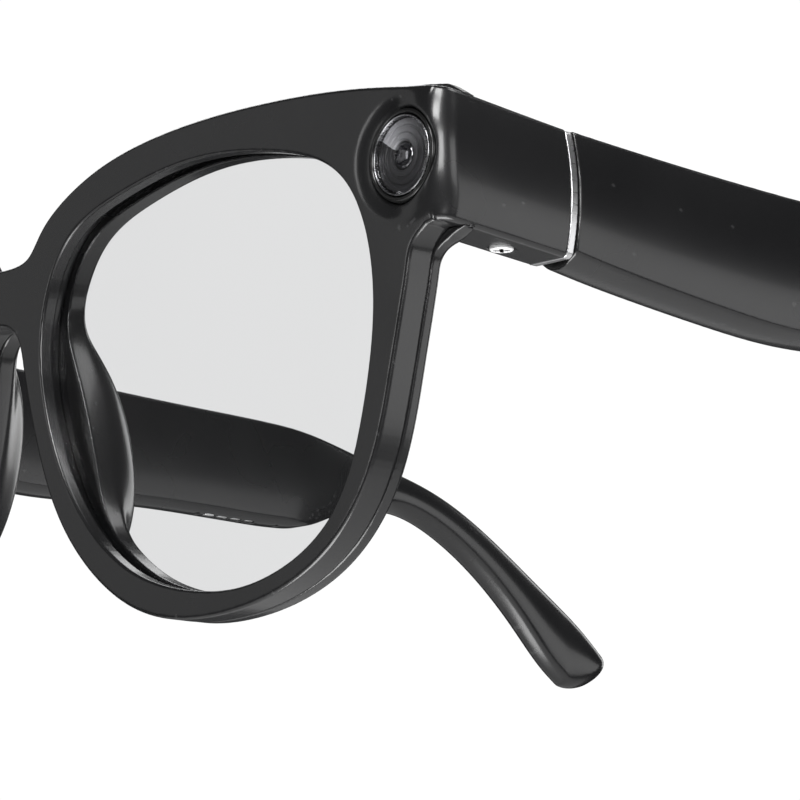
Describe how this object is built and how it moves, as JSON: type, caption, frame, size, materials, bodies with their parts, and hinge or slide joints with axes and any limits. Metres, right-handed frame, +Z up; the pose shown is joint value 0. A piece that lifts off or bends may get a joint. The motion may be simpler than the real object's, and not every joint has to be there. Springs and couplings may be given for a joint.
{
  "type": "smart glasses",
  "caption": "Black smart glasses with folding temples, a camera and a status light in the front corners, speakers in the temples, a sprung capture key and a power slider.",
  "frame": {"origin": "under the middle of the glasses, on the level of the lowest point of the rims, half way between the face of the bridge and the temple tips", "axes": "+X to the wearer's left, +Y back towards the ears, +Z up"},
  "size_m": [0.1528, 0.1697, 0.0562],
  "materials": {
    "frame_plastic": "satin black moulding",
    "lens_clear": "clear lens with a slight grey tint",
    "hinge_metal": "brushed",
    "screw_metal": "turned, bright",
    "ring_metal": "brushed bright ring",
    "dark_plastic": "matte black",
    "cover_glass": "dark coated glass",
    "board": "green solder mask",
    "temple_plastic": "satin black moulding",
    "mesh_metal": "fine mesh and plated steel",
    "battery_foil": "foil pouch",
    "key_plastic": "fine matte",
    "copper_film": "copper film",
    "contact_metal": "gold plated"
  },
  "bodies": {
    "front": {"front_frame": "frame_plastic", "back_frame": "frame_plastic", "lens_left": "lens_clear", "lens_right": "lens_clear", "hinge_block_left": "hinge_metal", "hinge_block_right": "hinge_metal", "hinge_screw_left": "screw_metal", "hinge_screw_right": "screw_metal", "trim_ring_left": "ring_metal", "trim_ring_right": "ring_metal", "camera_trim_ring": "ring_metal", "light_trim_ring": "ring_metal", "end_plug_left": "dark_plastic", "end_plug_right": "dark_plastic", "camera_bezel": "dark_plastic", "light_bezel": "dark_plastic", "camera_barrel": "dark_plastic", "camera_cover_glass": "cover_glass", "camera_lens": "cover_glass", "light_window": "cover_glass", "camera_board": "board", "light_board": "board"},
    "temple_left": {"hinge_tongue_left": "hinge_metal", "tongue_screws_left": "hinge_metal", "core_wire_left": "hinge_metal", "speaker_left": "dark_plastic", "microphone_left": "dark_plastic", "temple_shell_left": "temple_plastic", "temple_cover_left": "temple_plastic", "speaker_mesh_left": "mesh_metal", "battery": "battery_foil", "slider_switch": "dark_plastic"},
    "temple_right": {"hinge_tongue_right": "hinge_metal", "tongue_screws_right": "hinge_metal", "core_wire_right": "hinge_metal", "speaker_right": "dark_plastic", "microphone_right": "dark_plastic", "temple_shell_right": "temple_plastic", "temple_cover_right": "temple_plastic", "speaker_mesh_right": "mesh_metal", "main_board": "board", "shield_can": "mesh_metal", "touch_strip": "copper_film", "button_switch": "dark_plastic", "charging_contacts": "contact_metal"},
    "slider_body": {"power_slider": "key_plastic"},
    "key_body": {"capture_button": "key_plastic"}
  },
  "joints": [
    {"name": "fold_left", "type": "hinge", "parent": "front", "child": "temple_left", "pos_m": [0.0687, -0.0688, 0.0447], "axis": [0, 0, 1], "range_deg": [0, 94.1]},
    {"name": "fold_right", "type": "hinge", "parent": "front", "child": "temple_right", "pos_m": [-0.0687, -0.0688, 0.0447], "axis": [0, 0, -1], "range_deg": [0, 87.8]},
    {"name": "power_slide", "type": "slide", "parent": "temple_left", "child": "slider_body", "axis": [0.0202, 0.9998, 0], "range_m": [0, 0.0024]},
    {"name": "capture_press", "type": "slide", "parent": "temple_right", "child": "key_body", "axis": [0, 0, -1], "range_m": [0, 0.0005], "stiffness_N_per_m": 400}
  ]
}
